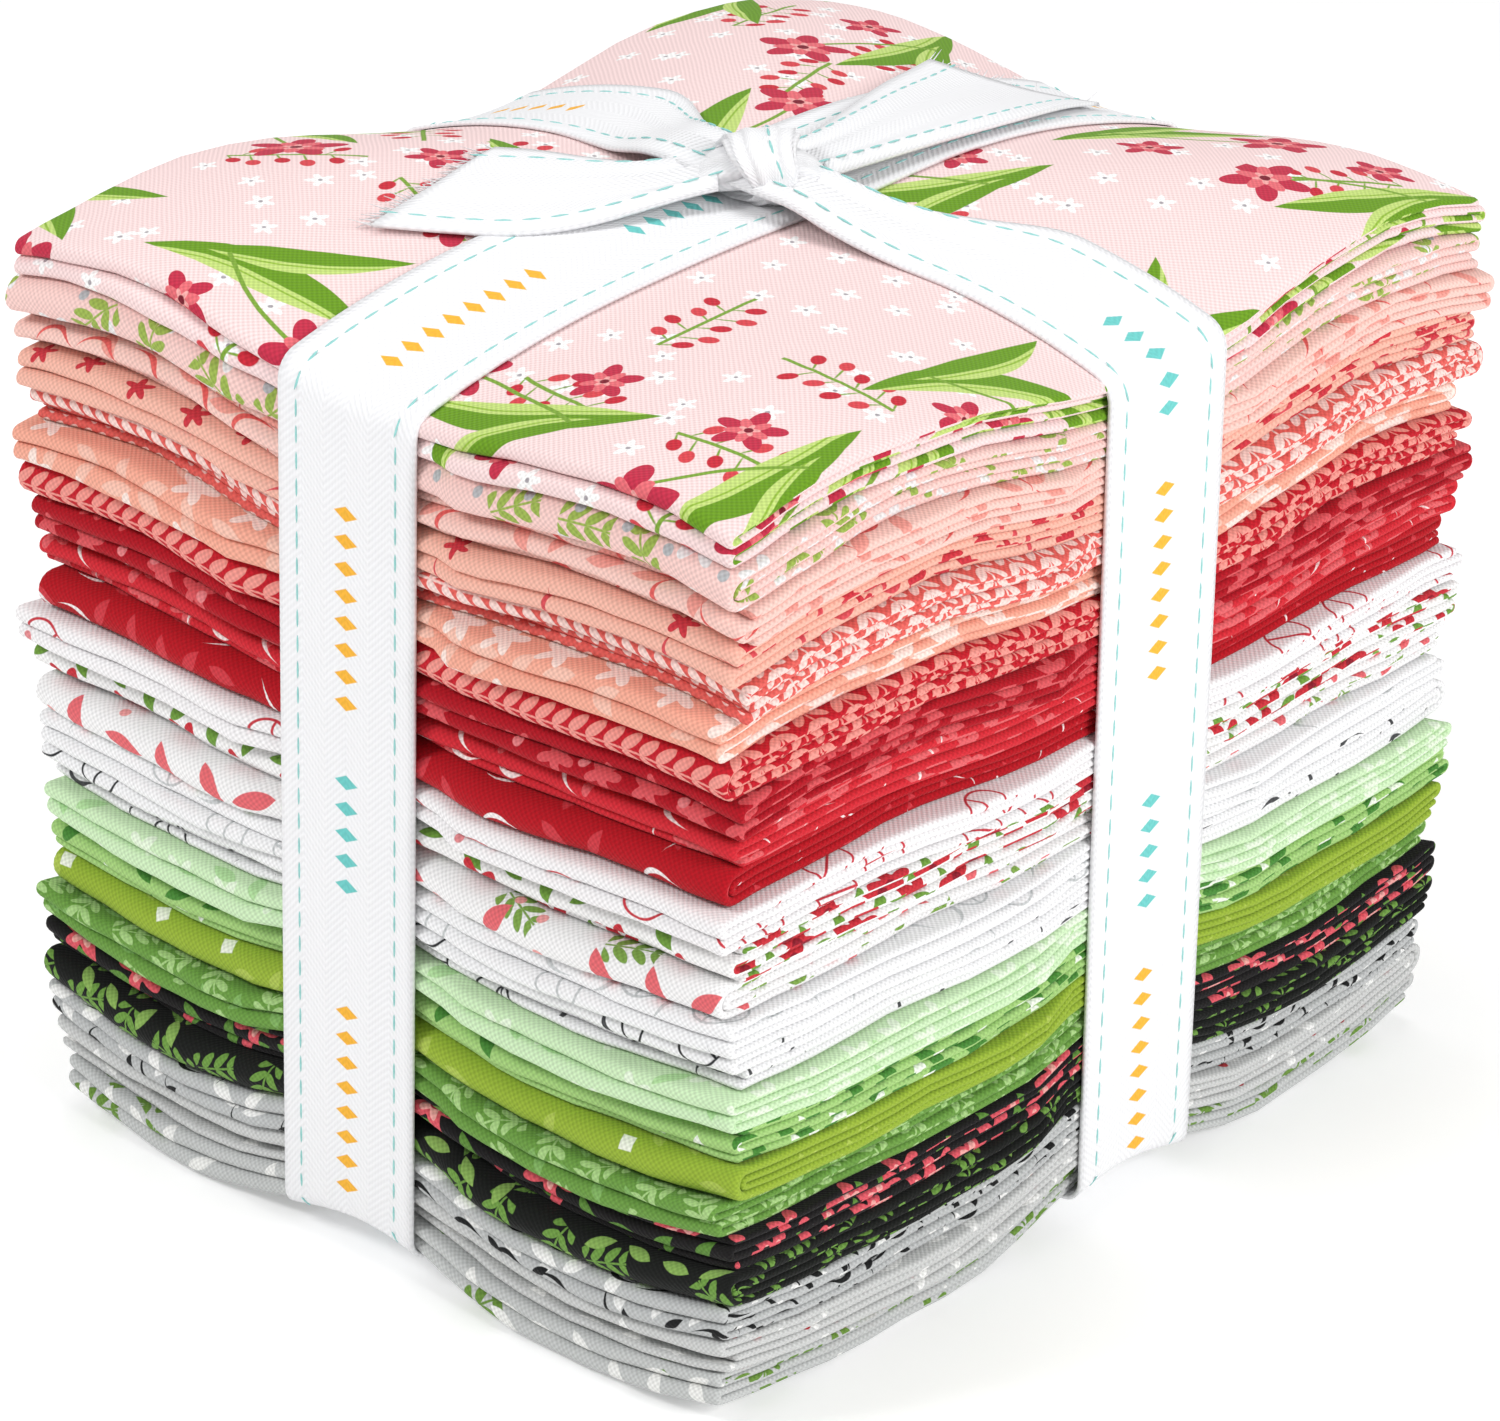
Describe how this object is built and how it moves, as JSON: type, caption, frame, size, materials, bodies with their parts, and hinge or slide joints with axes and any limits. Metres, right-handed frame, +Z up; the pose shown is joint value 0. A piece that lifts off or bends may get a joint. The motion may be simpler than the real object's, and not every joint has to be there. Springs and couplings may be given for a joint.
{
  "type": "fat quarter bundle",
  "caption": "Stack of folded printed quilting cottons tied crosswise with a flat white tape, with a small knot and two cut tails on top.",
  "frame": {"origin": "centre of the bounding box on the surface that the bundle rests on", "axes": "+Z up, +Y along the longer folded side, -Y face shows the folds, +X face shows the layered edges"},
  "size_m": [0.1186, 0.144, 0.1318],
  "materials": {
    "cotton_01_grey_sprig": "printed plain-weave quilting cotton, grey with small green sprigs",
    "cotton_02_grey_dot": "printed plain-weave quilting cotton, grey with white marks and red dots",
    "cotton_03_grey_branch": "printed plain-weave quilting cotton, grey with black branches",
    "cotton_04_black_leaf": "printed plain-weave quilting cotton, black with green leaves",
    "cotton_05_black_rose": "printed plain-weave quilting cotton, black with pink blooms",
    "cotton_06_green_vine": "printed plain-weave quilting cotton, green with a pale leaf vine",
    "cotton_07_lime_check": "printed plain-weave quilting cotton, lime green with small white squares",
    "cotton_08_leaf_green": "printed plain-weave quilting cotton, light green with dark and white leaves",
    "cotton_09_mint": "printed plain-weave quilting cotton, pale mint green",
    "cotton_10_white_sketch": "printed plain-weave quilting cotton, white with thin black line marks",
    "cotton_11_white_lines": "printed plain-weave quilting cotton, white with pale grey lines",
    "cotton_12_white_bud": "printed plain-weave quilting cotton, white with pink buds and green sprigs",
    "cotton_13_white_berry": "printed plain-weave quilting cotton, white with red berries and green leaves",
    "cotton_14_white_net": "printed plain-weave quilting cotton, white with red line marks",
    "cotton_15_red_branch": "printed plain-weave quilting cotton, deep red with white branches",
    "cotton_16_coral_stroke": "printed plain-weave quilting cotton, coral red with white strokes",
    "cotton_17_crimson_patch": "printed plain-weave quilting cotton, crimson with coral patches",
    "cotton_18_red_vine": "printed plain-weave quilting cotton, red with a coral leaf vine",
    "cotton_19_peach_flower": "printed plain-weave quilting cotton, peach with white flowers",
    "cotton_20_coral_vine": "printed plain-weave quilting cotton, coral with a white leaf vine",
    "cotton_21_peach_stroke": "printed plain-weave quilting cotton, peach with small red flowers and strokes",
    "cotton_22_blush_curl": "printed plain-weave quilting cotton, light pink with coral curls",
    "cotton_23_pink_sprig": "printed plain-weave quilting cotton, pink with grey-white flowers and green sprigs",
    "cotton_24_pink_floral": "printed plain-weave quilting cotton, pink with large red buds, green leaves, berries and small white flowers",
    "tape": "white cotton twill tape with a waffle weave and a dashed running stitch near each edge"
  },
  "bodies": {
    "root": {"cotton_01_grey_sprig": "cotton_01_grey_sprig", "cotton_02_grey_dot": "cotton_02_grey_dot", "cotton_03_grey_branch": "cotton_03_grey_branch", "cotton_04_black_leaf": "cotton_04_black_leaf", "cotton_05_black_rose": "cotton_05_black_rose", "cotton_06_green_vine": "cotton_06_green_vine", "cotton_07_lime_check": "cotton_07_lime_check", "cotton_08_leaf_green": "cotton_08_leaf_green", "cotton_09_mint": "cotton_09_mint", "cotton_10_white_sketch": "cotton_10_white_sketch", "cotton_11_white_lines": "cotton_11_white_lines", "cotton_12_white_bud": "cotton_12_white_bud", "cotton_13_white_berry": "cotton_13_white_berry", "cotton_14_white_net": "cotton_14_white_net", "cotton_15_red_branch": "cotton_15_red_branch", "cotton_16_coral_stroke": "cotton_16_coral_stroke", "cotton_17_crimson_patch": "cotton_17_crimson_patch", "cotton_18_red_vine": "cotton_18_red_vine", "cotton_19_peach_flower": "cotton_19_peach_flower", "cotton_20_coral_vine": "cotton_20_coral_vine", "cotton_21_peach_stroke": "cotton_21_peach_stroke", "cotton_22_blush_curl": "cotton_22_blush_curl", "cotton_23_pink_sprig": "cotton_23_pink_sprig", "cotton_24_pink_floral": "cotton_24_pink_floral", "tie": "tape"}
  },
  "joints": []
}
